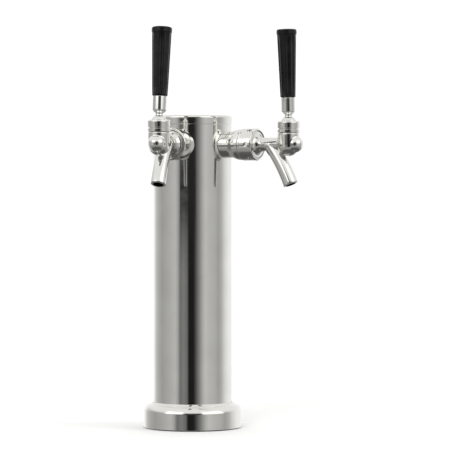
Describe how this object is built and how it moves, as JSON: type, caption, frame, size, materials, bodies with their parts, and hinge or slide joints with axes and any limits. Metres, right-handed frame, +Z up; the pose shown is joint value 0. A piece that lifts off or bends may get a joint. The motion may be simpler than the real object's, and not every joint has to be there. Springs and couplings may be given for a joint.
{
  "type": "beer tap tower",
  "caption": "Chromed draught-beer column on a twist-lock base, with splayed faucets whose tilting levers slide the shut-off shafts inside.",
  "frame": {"origin": "centre of the base, on the surface of the worktop that the tower stands on", "axes": "+Z up along the column; -Y is the front, and the faucets point 37.5 degrees to its left (-X) and right (+X)"},
  "size_m": [0.1566, 0.1467, 0.3952],
  "materials": {
    "chrome": "polished chrome plate over brass and steel",
    "steel": "bright stainless steel",
    "brass": "bare machined brass",
    "handle_plastic": "satin black moulded phenolic",
    "base_plastic": "black glass-filled nylon",
    "rubber": "matt black nitrile rubber",
    "nylon": "natural white nylon",
    "foam": "dark grey closed-cell foam"
  },
  "bodies": {
    "tower": {"column_tube": "chrome", "top_cap": "chrome", "base_skirt": "chrome", "cap_seal": "rubber", "base_gasket": "rubber", "bayonet_ring": "base_plastic", "foam_sleeve": "foam", "column_screw_1": "steel", "column_screw_2": "steel", "column_screw_3": "steel", "shank_left": "steel", "shank_collar_left": "chrome", "saddle_washer_left": "steel", "shank_nut_left": "brass", "tail_elbow_left": "steel", "coupling_nut_left": "chrome", "coupling_washer_left": "rubber", "faucet_body_left": "chrome", "bonnet_left": "chrome", "ball_washer_left": "nylon", "friction_ring_left": "rubber", "shank_right": "steel", "shank_collar_right": "chrome", "saddle_washer_right": "steel", "shank_nut_right": "brass", "tail_elbow_right": "steel", "coupling_nut_right": "chrome", "coupling_washer_right": "rubber", "faucet_body_right": "chrome", "bonnet_right": "chrome", "ball_washer_right": "nylon", "friction_ring_right": "rubber"},
    "tap_lever_left": {"lever_left": "chrome", "lever_ferrule_left": "chrome", "handle_insert_left": "brass", "tap_handle_left": "handle_plastic"},
    "flow_shaft_left": {"faucet_shaft_left": "steel", "seat_washer_left": "rubber", "seat_nut_left": "brass"},
    "tap_lever_right": {"lever_right": "chrome", "lever_ferrule_right": "chrome", "handle_insert_right": "brass", "tap_handle_right": "handle_plastic"},
    "flow_shaft_right": {"faucet_shaft_right": "steel", "seat_washer_right": "rubber", "seat_nut_right": "brass"}
  },
  "joints": [
    {"name": "lever_tilt_left", "type": "hinge", "parent": "tower", "child": "tap_lever_left", "pos_m": [-0.06544, -0.08528, 0.2945], "axis": [0.7934, -0.6088, 0], "range_deg": [0, 24]},
    {"name": "shaft_slide_left", "type": "slide", "parent": "tower", "child": "flow_shaft_left", "axis": [0.6088, 0.7934, 0], "range_m": [0, 0.0083]},
    {"name": "lever_tilt_right", "type": "hinge", "parent": "tower", "child": "tap_lever_right", "pos_m": [0.06544, -0.08528, 0.2945], "axis": [0.7934, 0.6088, 0], "range_deg": [0, 24]},
    {"name": "shaft_slide_right", "type": "slide", "parent": "tower", "child": "flow_shaft_right", "axis": [-0.6088, 0.7934, 0], "range_m": [0, 0.0083]}
  ],
  "couplings": [
    {"joint": "shaft_slide_left", "follows": "lever_tilt_left", "m_per_rad": 0.0197},
    {"joint": "shaft_slide_right", "follows": "lever_tilt_right", "m_per_rad": 0.0197}
  ]
}
